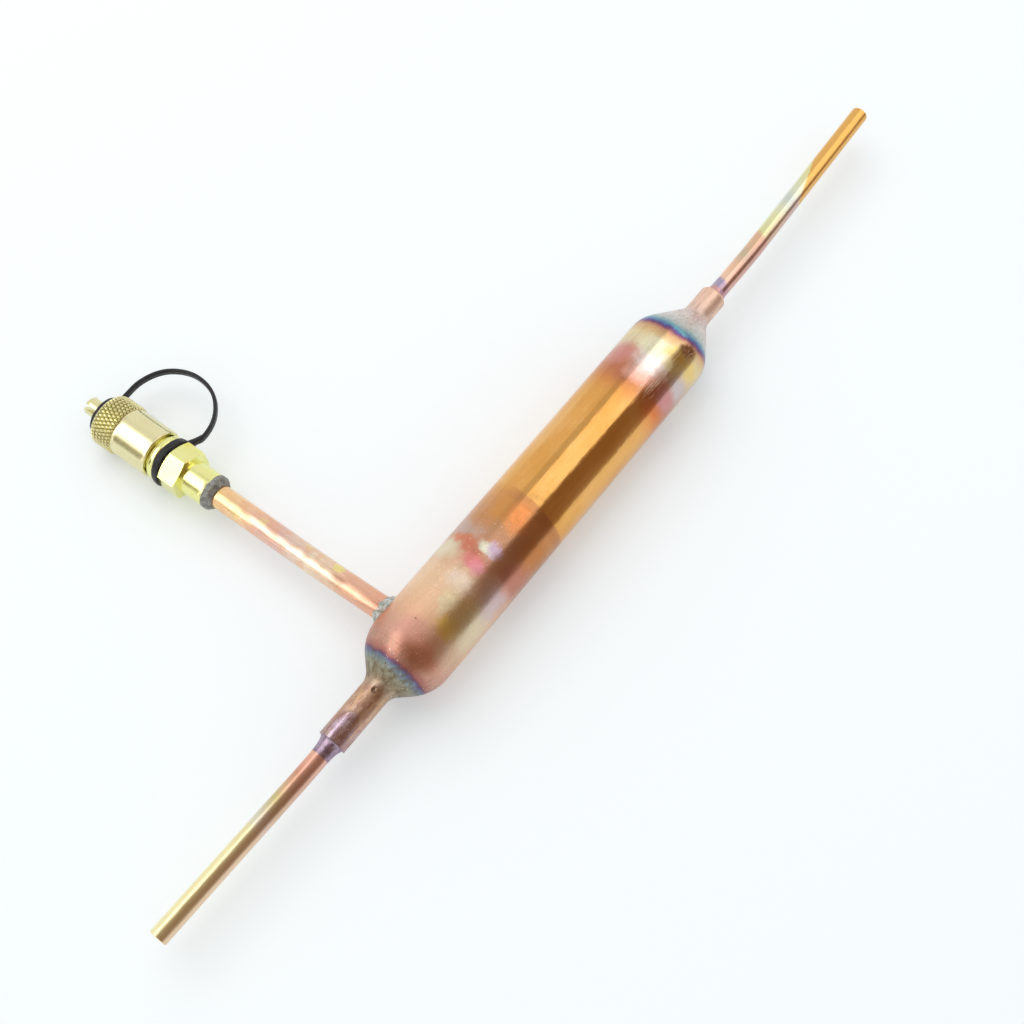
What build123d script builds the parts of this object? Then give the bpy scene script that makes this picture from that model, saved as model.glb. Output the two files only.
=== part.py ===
from build123d import *
import os
from math import asin, cos, degrees, radians, sin, sqrt, tan

os.makedirs("parts", exist_ok=True)

# Copper filter drier with a process tube and a capped access valve.
# Frame: +X along the shell towards the outlet, +Y towards the valve, +Z up as it lies.
# The origin is on the shell's axis, at the middle of its straight barrel. Millimetres.

# ---------------------------------------------------------------- driving dimensions
# Spun shell
shell_od = 22.2
shell_wall = 0.8
barrel_len = 102.5
inlet_cone_deg = 45.0
inlet_shoulder_r = 12.0
inlet_flare_r = 4.5
inlet_neck_od = 7.5
inlet_neck_len = 14.9
outlet_cone_deg = 33.5
outlet_shoulder_r = 9.0
outlet_flare_r = 4.0
outlet_neck_od = 7.3
outlet_neck_len = 7.5
outlet_neck_edge_r = 0.9
dimple_r = 0.9
dimple_depth = 0.5
dimple_from_flare = 0.3
dimple_turn_deg = 6.0

# Stub tubes, 3/16 inch
stub_od = 4.76
stub_wall = 0.76
stub_gap = 0.05
stub_insert = 6.5
stub_tip_chamfer = 0.2
inlet_stub_len = 56.9
inlet_bend_at = 9.0
inlet_bend_deg = 1.4
inlet_bend_r = 300.0
outlet_stub_len = 74.6
outlet_bend_at = 17.0
outlet_bend_deg = 2.2
outlet_bend_r = 250.0

# Brazed joints
braze_gap = 0.02
inlet_braze_len = 4.2
inlet_braze_rim = 0.25
outlet_braze_len = 1.6
outlet_braze_od = 5.9
saddle_braze_r = 2.0

# Process tube, 1/4 inch
access_od = 6.35
access_wall = 0.8
access_from_shoulder = 4.15
access_stand_in = 1.5
access_hole_gap = 0.05
access_lean_deg = 3.4
access_knee = 30.0
access_knee_r = 500.0
valve_lean_deg = 2.0

# Access valve body, 1/4 inch SAE (7/16-20 port thread as a plain cylinder)
valve_reach = 67.0
skirt_od = 9.3
skirt_len = 7.2
socket_depth = 6.6
socket_gap = 0.05
socket_end_gap = 0.1
hex_af = 12.0
hex_len = 5.7
hex_turn_deg = 30.0
hex_crown = 0.5
hex_crown_in = 0.1
groove_od = 9.0
groove_len = 2.1
flange_od = 12.6
flange_len = 1.9
flange_edge_r = 0.6
port_od = 11.11
port_len = 10.1
port_chamfer = 0.6
flow_bore = 4.4
core_thread_bore = 5.4
core_thread_len = 6.5
core_taper_len = 1.5
mouth_chamfer = 0.5

# Solder ring where the process tube enters the valve
ring_od = 9.5
ring_len = 1.4
ring_heel = 1.2
ring_heel_od = 7.4

# Valve core
core_sink = 0.6
core_head_gap = 0.1
core_head_len = 5.5
core_key_len = 1.8
core_key_width = 3.2
core_sleeve_od = 3.9
core_sleeve_len = 6.7
core_sleeve_bore = 2.5
core_guide_bore = 1.4
core_guide_len = 5.0
gasket_len = 1.9
gasket_gap = 0.03
pin_dia = 1.1
pin_sink = 0.7
pin_collar_dia = 2.1
pin_collar_len = 0.6
pin_collar_at = 1.7
pin_cup_dia = 3.4
pin_cup_len = 1.15
pin_cup_chamfer = 0.4
seal_len = 0.6
seal_clear = 0.05
seal_lap = 0.1
seal_bore_gap = 0.02
spring_wire = 0.28
spring_turns = 6
spring_seat_gap = 0.03

# Cap with a slotted core tool on its end
cap_rim_gap = 0.7
cap_od = 13.4
cap_plain_len = 11.3
cap_grip_od = 14.4
cap_grip_len = 7.2
cap_grip_round = 1.6
cap_grip_step = 0.35
cap_rim_round = 0.35
cap_bore_gap = 0.09
cap_gasket_len = 1.2
cap_gasket_bore = 6.0
cap_gasket_clear = 0.05
tool_od = 4.9
tool_len = 6.6
tool_slot = 1.2
tool_slot_depth = 4.8
tool_slot_turn_deg = -36.0
tool_chamfer = 0.4

# Moulded retaining strap
strap_ring_od = 13.6
strap_ring_gap = 0.2
strap_ring_len = 1.9
strap_eye_od = 11.0
strap_eye_len = 1.2
strap_eye_gap = 0.2
strap_lift = 0.1
strap_band = 1.0
strap_width = 2.0
strap_reach = 23.0
strap_loop_share = 0.999
strap_drop = 1.9
strap_heel_r = 2.5
strap_tab_len = 3.4
strap_tab = 2.0

# Filling: screens at both ends of the desiccant
plate_gap = 0.1
plate_thick = 0.6
plate_rim_len = 3.0
plate_hole = 1.8
plate_pitch = 3.1
plate_rings = 2
mesh_thick = 0.4
retainer_len = 1.6
retainer_wall = 1.2
inlet_screen_x = -38.0
outlet_screen_x = 44.0
bed_gap = 0.05

# ---------------------------------------------------------------- derived sizes
shell_r = shell_od / 2
cavity_r = shell_r - shell_wall
stub_r = stub_od / 2
stub_hole_r = stub_r + stub_gap
inlet_neck_r = inlet_neck_od / 2
outlet_neck_r = outlet_neck_od / 2
barrel_end = barrel_len / 2


def neck_corner(cone_deg, shoulder_r, barrel_r, neck_r):
    """Distance from the barrel's end to the corners of shoulder and neck, before rounding."""
    shoulder = shoulder_r * tan(radians(cone_deg) / 2)
    return shoulder, shoulder + (barrel_r - neck_r) / tan(radians(cone_deg))


def neck_start(cone_deg, shoulder_r, flare_r, neck_r):
    """Distance from the barrel's end to where the neck runs straight."""
    corner = neck_corner(cone_deg, shoulder_r, shell_r, neck_r)[1]
    return corner + flare_r * tan(radians(cone_deg) / 2)


inlet_flare_end = barrel_end + neck_start(inlet_cone_deg, inlet_shoulder_r, inlet_flare_r, inlet_neck_r)
inlet_neck_end = inlet_flare_end + inlet_neck_len
outlet_flare_end = barrel_end + neck_start(outlet_cone_deg, outlet_shoulder_r, outlet_flare_r, outlet_neck_r)
outlet_neck_end = outlet_flare_end + outlet_neck_len

access_r = access_od / 2
access_x = -barrel_end + access_from_shoulder

# Stations along the valve's axis, from the shell's axis outwards
hex_start = valve_reach + skirt_len
hex_end = hex_start + hex_len
flange_start = hex_end + groove_len
flange_end = flange_start + flange_len
port_end = flange_end + port_len
cap_rim = flange_end + cap_rim_gap
grip_start = cap_rim + cap_plain_len
cap_end = grip_start + cap_grip_len
tool_end = cap_end + tool_len
port_r = port_od / 2
cap_bore_r = port_r + cap_bore_gap
gasket_start = port_end + cap_gasket_clear
cap_bore_end = gasket_start + cap_gasket_len

# The valve dips until the cap's grip touches the surface that the barrel lies on.
valve_dip_deg = degrees(asin((shell_r - cap_grip_od / 2) / (cap_end - cap_grip_round)))

# ---------------------------------------------------------------- placing
dip = Rot(X=-valve_dip_deg)
access_root = dip * Pos(access_x, 0, 0) * Rot(Z=access_lean_deg) * Rot(X=-90)
knee = Vector(access_x - access_knee * sin(radians(access_lean_deg)), access_knee * cos(radians(access_lean_deg)))
valve_place = dip * Pos(knee) * Rot(Z=valve_lean_deg) * Rot(X=-90) * Pos(0, 0, -access_knee)


def turned(outline, axis=Axis.Z):
    """Solid of revolution from a closed outline in the plane that holds the axis."""
    return revolve(make_face(outline), axis)


def turned_points(*points):
    """Turned piece about Z from (radius, z) corners."""
    return turned(Plane.XZ * Polyline(*points, close=True))


def rod(radius, start, end):
    """Round bar about Z between two stations."""
    return Pos(0, 0, start) * Cylinder(radius, end - start, align=(Align.CENTER, Align.CENTER, Align.MIN))


def rod_x(radius, start, end):
    """Round bar about X between two stations."""
    return Rot(Y=90) * rod(radius, start, end)


def edges_at(shape, z, radius):
    """Round edges about Z at one station with one radius."""
    near = shape.edges().filter_by(GeomType.CIRCLE).filter_by_position(Axis.Z, z - 0.01, z + 0.01)
    return [e for e in near if abs(e.radius - radius) < 0.01]


# ---------------------------------------------------------------- shell
def shell_skin(barrel_r, inset, inlet_r, outlet_r, inlet_end, outlet_end):
    """Turned body through both necks, inset from the outer surface by a wall."""
    in_shoulder, in_corner = neck_corner(inlet_cone_deg, inlet_shoulder_r - inset, barrel_r, inlet_r)
    out_shoulder, out_corner = neck_corner(outlet_cone_deg, outlet_shoulder_r - inset, barrel_r, outlet_r)
    top = FilletPolyline(
        (-inlet_end, inlet_r),
        (-barrel_end - in_corner, inlet_r),
        (-barrel_end - in_shoulder, barrel_r),
        (barrel_end + out_shoulder, barrel_r),
        (barrel_end + out_corner, outlet_r),
        (outlet_end, outlet_r),
        radius=[inlet_flare_r + inset, inlet_shoulder_r - inset, outlet_shoulder_r - inset, outlet_flare_r + inset],
    )
    base = Polyline(top @ 0, (-inlet_end, 0), (outlet_end, 0), top @ 1)
    return revolve(make_face(top.edges() + base.edges()), Axis.X)


def make_shell():
    outside = shell_skin(shell_r, 0, inlet_neck_r, outlet_neck_r, inlet_neck_end, outlet_neck_end)
    mouth = outside.edges().filter_by(GeomType.CIRCLE).sort_by(Axis.X)[-1]
    outside = fillet(mouth, outlet_neck_edge_r)
    cavity = shell_skin(cavity_r, shell_wall, stub_hole_r, stub_hole_r, inlet_neck_end, outlet_neck_end)
    hole = access_root * rod(access_r + access_hole_gap, 0, shell_od)
    dimple_x = -inlet_flare_end + dimple_from_flare
    dimple_z = inlet_neck_r + dimple_r - dimple_depth
    dimple = Rot(X=dimple_turn_deg) * Pos(dimple_x, 0, dimple_z) * Sphere(dimple_r)
    return outside - cavity - hole - dimple


# ---------------------------------------------------------------- tubes
def swept_tube(path, radius, wall):
    """Round tube along a path."""
    start = Plane(origin=path @ 0, z_dir=path % 0)
    return sweep(start * (Circle(radius) - Circle(radius - wall)), path=path)


def stub_tube(side, neck_end, free_len, bend_at, bend_deg, bend_r):
    """Stub brazed in a neck: straight in the neck, then set over by a small bend towards +Y."""
    bend_x = neck_end + bend_at
    run = free_len - bend_at
    tip = (bend_x + run * cos(radians(bend_deg)), run * sin(radians(bend_deg)), 0)
    points = [(neck_end - stub_insert, 0, 0), (bend_x, 0, 0), tip]
    path = FilletPolyline(*[(side * x, y, z) for x, y, z in points], radius=bend_r)
    tube = swept_tube(path, stub_r, stub_wall)
    rim = tube.edges().filter_by(GeomType.CIRCLE).sort_by(Axis.X)
    tip_edges = (rim[-2:] if side > 0 else rim[:2]).filter_by(lambda e: abs(e.radius - stub_r) < 0.01)
    return chamfer(tip_edges, stub_tip_chamfer)


def make_access_tube():
    start = Vector(access_x, 0) + (knee - Vector(access_x, 0)).normalized() * (cavity_r - access_stand_in)
    reach = valve_reach + socket_depth - socket_end_gap - access_knee
    lean = radians(valve_lean_deg)
    end = knee + Vector(-sin(lean), cos(lean)) * reach
    path = FilletPolyline(start, knee, end, radius=access_knee_r)
    return dip * swept_tube(path, access_r, access_wall)


# ---------------------------------------------------------------- brazed joints
def neck_braze(side, neck_end, length, outer_r):
    """Hollow meniscus from the neck's end down to the stub tube."""
    inner_r = stub_r + braze_gap
    height = outer_r - inner_r - braze_gap
    curve = EllipticalCenterArc((length, outer_r), length, height, start_angle=180, arc_size=90)
    sides = Polyline(curve @ 0, (0, inner_r), (length, inner_r), curve @ 1)
    ring = revolve(make_face(curve.edges() + sides.edges()), Axis.X)
    ring = Pos(neck_end, 0, 0) * ring
    return ring if side > 0 else mirror(ring, Plane.YZ)


def make_saddle_braze():
    """Fillet run round the process tube where it enters the barrel."""
    barrel = rod_x(shell_r, -barrel_end, 0)
    tube = access_root * rod(access_r, 0, 2 * shell_od)
    joint = barrel + tube
    seam = [e for e in joint.edges() if e.geom_type not in (GeomType.CIRCLE, GeomType.LINE)]
    lining = rod_x(shell_r + braze_gap, -barrel_end, 0) + access_root * rod(access_r + braze_gap, 0, 2 * shell_od)
    return fillet(seam, saddle_braze_r) - lining


def make_solder_ring():
    inner = access_r + braze_gap
    top = valve_reach
    ring = turned_points(
        (inner, top),
        (ring_od / 2, top),
        (ring_od / 2, top - ring_len),
        (ring_heel_od / 2, top - ring_len - ring_heel),
        (inner, top - ring_len - ring_heel),
    )
    ring = fillet(edges_at(ring, top - ring_len, ring_od / 2), ring_len / 2)
    return valve_place * ring


# ---------------------------------------------------------------- valve body
def make_valve_body():
    blank = rod(skirt_od / 2, valve_reach, hex_start)
    hex_bar = extrude(RegularPolygon(hex_af / 2, 6, major_radius=False), hex_len)
    hex_r = hex_af / sqrt(3)
    crown_r = hex_af / 2 - hex_crown_in
    crown = turned_points(
        (0, hex_start),
        (hex_r, hex_start),
        (hex_r, hex_end - hex_crown),
        (crown_r, hex_end),
        (0, hex_end),
    )
    flats = Pos(0, 0, hex_start) * Rot(Z=hex_turn_deg) * hex_bar
    blank += flats & crown
    blank += rod(groove_od / 2, hex_end, flange_start)
    flange = rod(flange_od / 2, flange_start, flange_end)
    blank += fillet(flange.edges().filter_by(GeomType.CIRCLE), flange_edge_r)
    port = rod(port_r, flange_end, port_end)
    blank += chamfer(edges_at(port, port_end, port_r), port_chamfer)
    bore_r = flow_bore / 2
    core_r = core_thread_bore / 2
    taper_top = port_end - core_thread_len
    bore = turned_points(
        (0, valve_reach),
        (access_r + socket_gap, valve_reach),
        (access_r + socket_gap, valve_reach + socket_depth),
        (bore_r, valve_reach + socket_depth),
        (bore_r, taper_top - core_taper_len),
        (core_r, taper_top),
        (core_r, port_end - mouth_chamfer),
        (core_r + mouth_chamfer, port_end),
        (0, port_end),
    )
    return valve_place * (blank - bore)


# ---------------------------------------------------------------- valve core
core_top = port_end - core_sink
core_head_end = core_top - core_head_len
sleeve_end = core_head_end - core_sleeve_len
guide_top = sleeve_end + core_guide_len
collar_end = core_top - pin_collar_at - pin_collar_len
seal_top = sleeve_end - seal_clear
cup_top = seal_top - seal_len
cup_end = cup_top - pin_cup_len


def make_core_head():
    """Threaded head, milled down to a key that the core tool turns."""
    head = rod(core_thread_bore / 2 - core_head_gap, core_head_end, core_top)
    key_level = core_top - core_key_len
    key_zone = Pos(0, 0, key_level) * Box(
        core_thread_bore, core_thread_bore, core_key_len, align=(Align.CENTER, Align.CENTER, Align.MIN)
    )
    key = Pos(0, 0, key_level) * Box(
        core_key_width, core_thread_bore, core_key_len, align=(Align.CENTER, Align.CENTER, Align.MIN)
    )
    head -= key_zone - key
    return valve_place * (head - rod(core_sleeve_bore / 2, core_head_end, core_top))


def make_core_sleeve():
    sleeve = turned_points(
        (core_guide_bore / 2, sleeve_end),
        (core_sleeve_od / 2, sleeve_end),
        (core_sleeve_od / 2, core_head_end),
        (core_sleeve_bore / 2, core_head_end),
        (core_sleeve_bore / 2, guide_top),
        (core_guide_bore / 2, guide_top),
    )
    return valve_place * sleeve


def make_core_gasket():
    """Tapered ring that seals the core on the body's cone."""
    inner = core_sleeve_od / 2 + gasket_gap
    taper = (core_thread_bore - flow_bore) / 2 / core_taper_len
    taper_top = port_end - core_thread_len
    low = core_head_end - gasket_len

    def seat_r(z):
        return min(core_thread_bore / 2, flow_bore / 2 + taper * (z - taper_top + core_taper_len)) - gasket_gap

    gasket = turned_points(
        (inner, low),
        (seat_r(low), low),
        (seat_r(taper_top), taper_top),
        (seat_r(taper_top), core_head_end),
        (inner, core_head_end),
    )
    return valve_place * gasket


def make_core_pin():
    pin = rod(pin_dia / 2, cup_end, port_end - pin_sink)
    pin += rod(pin_collar_dia / 2, collar_end, collar_end + pin_collar_len)
    cup = rod(pin_cup_dia / 2, cup_end, cup_top)
    return valve_place * (pin + chamfer(edges_at(cup, cup_end, pin_cup_dia / 2), pin_cup_chamfer))


def make_core_seat_seal():
    seal_r = pin_cup_dia / 2 - seal_lap
    return valve_place * (rod(seal_r, cup_top, seal_top) - rod(pin_dia / 2 + seal_bore_gap, cup_top, seal_top))


def make_core_spring():
    coil_r = (core_sleeve_bore + pin_dia) / 4
    low = guide_top + spring_seat_gap + spring_wire / 2
    high = collar_end - spring_seat_gap - spring_wire / 2
    path = Pos(0, 0, low) * Helix(pitch=(high - low) / spring_turns, height=high - low, radius=coil_r)
    section = Plane(origin=path @ 0, z_dir=path % 0) * RegularPolygon(spring_wire / 2, 6)
    return valve_place * sweep(section, path=path, is_frenet=True)


# ---------------------------------------------------------------- cap and strap
def make_cap():
    grip = rod(cap_grip_od / 2, grip_start, cap_end)
    grip = fillet(edges_at(grip, cap_end, cap_grip_od / 2), cap_grip_round)
    grip = chamfer(edges_at(grip, grip_start, cap_grip_od / 2), cap_grip_step)
    plain = rod(cap_od / 2, cap_rim, grip_start)
    plain = fillet(edges_at(plain, cap_rim, cap_od / 2), cap_rim_round)
    tool = rod(tool_od / 2, cap_end, tool_end)
    tool = chamfer(edges_at(tool, tool_end, tool_od / 2), tool_chamfer)
    slot = Box(tool_slot, tool_od, tool_slot_depth, align=(Align.CENTER, Align.CENTER, Align.MAX))
    tool -= Pos(0, 0, tool_end) * Rot(Z=tool_slot_turn_deg) * slot
    return valve_place * (grip + plain + tool - rod(cap_bore_r, cap_rim, cap_bore_end))


def make_cap_gasket():
    washer = rod(cap_bore_r - cap_gasket_clear, gasket_start, cap_bore_end)
    return valve_place * (washer - rod(cap_gasket_bore / 2, gasket_start, cap_bore_end))


def make_cap_strap():
    """One moulding: ring round the valve's neck, looped band, eye round the cap's tool."""
    ring_start = hex_end + (groove_len - strap_ring_len) / 2
    ring_mid = ring_start + strap_ring_len / 2
    ring = rod(strap_ring_od / 2, ring_start, ring_start + strap_ring_len)
    ring -= rod(groove_od / 2 + strap_ring_gap, ring_start, ring_start + strap_ring_len)
    eye_start = cap_end + strap_lift
    eye_mid = eye_start + strap_eye_len / 2
    eye = rod(strap_eye_od / 2, eye_start, eye_start + strap_eye_len)
    eye -= rod(tool_od / 2 + strap_eye_gap, eye_start, eye_start + strap_eye_len)
    low = ring_mid - strap_drop
    turn_x = strap_reach - strap_band / 2
    route = [
        (strap_eye_od / 2 - strap_band, 0, eye_mid),
        (turn_x, 0, eye_mid),
        (turn_x, 0, low),
        (strap_ring_od / 2 + strap_heel_r, 0, low),
        (strap_ring_od / 2 - strap_band, 0, ring_mid),
    ]
    loop_r = strap_loop_share * (eye_mid - low) / 2
    path = FilletPolyline(*route, radius=[loop_r, loop_r, strap_heel_r])
    start = Plane(origin=path @ 0, x_dir=(0, 1, 0), z_dir=path % 0)
    band = sweep(start * Rectangle(strap_width, strap_band), path=path)
    tab = Pos(strap_ring_od / 2 - strap_band / 2, 0, ring_mid - strap_tab / 2) * Box(
        strap_tab_len, strap_width, strap_tab, align=(Align.MIN, Align.CENTER, Align.CENTER)
    )
    return valve_place * (ring + band + tab + eye)


# ---------------------------------------------------------------- filling
def hole_grid(rings):
    """Centres of a hexagonal grid out to a number of rings."""
    spots = []
    for row in range(-rings, rings + 1):
        count = 2 * rings + 1 - abs(row)
        for k in range(count):
            spots.append(((k - (count - 1) / 2) * plate_pitch, row * plate_pitch * sqrt(3) / 2))
    return spots


def screen_set(face_x, side):
    """Perforated cup, wire mesh and retaining ring, stacked from the desiccant outwards."""
    outer_r = cavity_r - plate_gap
    cup = rod(outer_r, 0, plate_rim_len) - rod(outer_r - plate_thick, plate_thick, plate_rim_len)
    holes = [Pos(x, y, 0) * rod(plate_hole / 2, 0, plate_thick) for x, y in hole_grid(plate_rings)]
    plate = cup - holes
    inner_r = outer_r - plate_thick - plate_gap
    mesh = rod(inner_r, plate_thick, plate_thick + mesh_thick)
    ring_start = plate_thick + mesh_thick
    retainer = rod(inner_r, ring_start, ring_start + retainer_len)
    retainer -= rod(inner_r - retainer_wall, ring_start, ring_start + retainer_len)
    place = Pos(face_x, 0, 0) * Rot(Y=90 * side)
    return place * plate, place * mesh, place * retainer


inlet_plate, inlet_mesh, inlet_retainer = screen_set(inlet_screen_x, -1)
outlet_plate, outlet_mesh, outlet_retainer = screen_set(outlet_screen_x, 1)
bed = rod_x(cavity_r - plate_gap, inlet_screen_x + bed_gap, outlet_screen_x - bed_gap)

# ---------------------------------------------------------------- nodes
nodes = {
    "shell": make_shell(),
    "inlet_tube": stub_tube(-1, inlet_neck_end, inlet_stub_len, inlet_bend_at, inlet_bend_deg, inlet_bend_r),
    "inlet_braze": neck_braze(-1, inlet_neck_end, inlet_braze_len, inlet_neck_r - inlet_braze_rim),
    "outlet_tube": stub_tube(1, outlet_neck_end, outlet_stub_len, outlet_bend_at, outlet_bend_deg, outlet_bend_r),
    "outlet_braze": neck_braze(1, outlet_neck_end, outlet_braze_len, outlet_braze_od / 2),
    "access_tube": make_access_tube(),
    "access_tube_braze": make_saddle_braze(),
    "valve_solder_ring": make_solder_ring(),
    "valve_body": make_valve_body(),
    "core_head": make_core_head(),
    "core_sleeve": make_core_sleeve(),
    "core_gasket": make_core_gasket(),
    "core_pin": make_core_pin(),
    "core_seat_seal": make_core_seat_seal(),
    "core_spring": make_core_spring(),
    "cap": make_cap(),
    "cap_gasket": make_cap_gasket(),
    "cap_strap": make_cap_strap(),
    "inlet_screen_plate": inlet_plate,
    "inlet_screen_mesh": inlet_mesh,
    "inlet_screen_retainer": inlet_retainer,
    "desiccant_bed": bed,
    "outlet_screen_plate": outlet_plate,
    "outlet_screen_mesh": outlet_mesh,
    "outlet_screen_retainer": outlet_retainer,
}

for name, shape in nodes.items():
    shape.label = name
    export_step(shape, f"parts/{name}.step")
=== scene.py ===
import bpy
import bmesh
from math import asin, cos, pi, radians, sin, sqrt, tau
from mathutils import Matrix, Vector, noise as mnoise


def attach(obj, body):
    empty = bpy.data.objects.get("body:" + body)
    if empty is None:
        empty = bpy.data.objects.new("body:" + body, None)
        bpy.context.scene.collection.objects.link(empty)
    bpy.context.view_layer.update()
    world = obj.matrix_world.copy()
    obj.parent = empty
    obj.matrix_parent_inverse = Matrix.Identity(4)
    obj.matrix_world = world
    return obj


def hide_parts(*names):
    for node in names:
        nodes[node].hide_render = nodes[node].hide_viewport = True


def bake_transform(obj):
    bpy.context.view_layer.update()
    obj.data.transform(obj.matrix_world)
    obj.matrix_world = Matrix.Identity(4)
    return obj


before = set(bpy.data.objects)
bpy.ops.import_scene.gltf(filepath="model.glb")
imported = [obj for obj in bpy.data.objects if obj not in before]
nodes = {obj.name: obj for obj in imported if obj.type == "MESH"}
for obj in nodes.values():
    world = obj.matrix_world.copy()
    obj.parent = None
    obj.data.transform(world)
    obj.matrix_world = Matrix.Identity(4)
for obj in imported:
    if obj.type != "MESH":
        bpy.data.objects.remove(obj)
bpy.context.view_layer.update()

MM = 0.001

# ------------------------------------------------------------ sizes, millimetres
shell_r = 11.1
floor_z = -shell_r
access_x = -47.1
knee_at = 30.0
valve_reach, hex_start, hex_end = 67.0, 74.2, 79.9
flange_start, flange_end, port_end = 82.0, 83.9, 94.0
cap_rim, grip_start, cap_end, tool_end = 84.6, 95.9, 103.1, 109.7
branch_r = 3.175
skirt_r, socket_r, hex_flat, groove_r = 4.65, 3.24, 6.0, 4.5
flange_r, flange_round = 5.7, 0.6
port_r, thread_root_r, thread_pitch = 5.555, 4.86, 1.27
port_bore_r, seat_bore_r, socket_depth = 2.7, 2.2, 6.6
cap_r, cap_round, cap_bore_r, cap_bore_end = 6.7, 0.35, 5.645, 95.25
grip_r, grip_step, grip_round = 7.2, 0.35, 1.6
knurl_count, knurl_rise, knurl_depth = 40, 2.16, 0.44
tool_r, tool_slot, tool_slot_depth, tool_slot_turn = 2.45, 1.2, 4.8, -36.0
axis_r = 0.02  # closes a lathed shape without a pole
# Strap: each ring is its two ends along the valve, then its inner and outer radius.
strap_ring, strap_eye = (80.02, 81.88, 4.72, 6.74), (103.22, 104.38, 2.66, 5.5)
strap_width, strap_thick = 2.0, 1.0
spring_low, spring_high, spring_wire_r, spring_coil_r = 86.23, 91.07, 0.14, 0.90

# Frames of the process tube and the valve: Z along each, -Y up. The tube leans a little towards
# the inlet, has a slight knee, and dips until the cap and the barrel rest on the same floor.
dip = Matrix.Rotation(-asin((shell_r - 7.2) / (cap_end - 1.6)), 4, "X")
lean = radians(3.4)
upright = Matrix.Rotation(radians(-90), 4, "X")
knee = Matrix.Translation((access_x - knee_at * sin(lean), knee_at * cos(lean), 0))
knee = knee @ Matrix.Rotation(radians(2.0), 4, "Z")
valve_frame = dip @ knee @ upright @ Matrix.Translation((0, 0, -knee_at))
tube_frame = dip @ Matrix.Translation((access_x, 0, 0)) @ Matrix.Rotation(lean, 4, "Z") @ upright


# ------------------------------------------------------------ node helpers
def lin(rgb):
    """Linear colour from 0-255 values as they look."""
    out = []
    for v in rgb:
        c = v / 255
        out.append(c / 12.92 if c <= 0.04045 else ((c + 0.055) / 1.055) ** 2.4)
    return (*out, 1.0)


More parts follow.
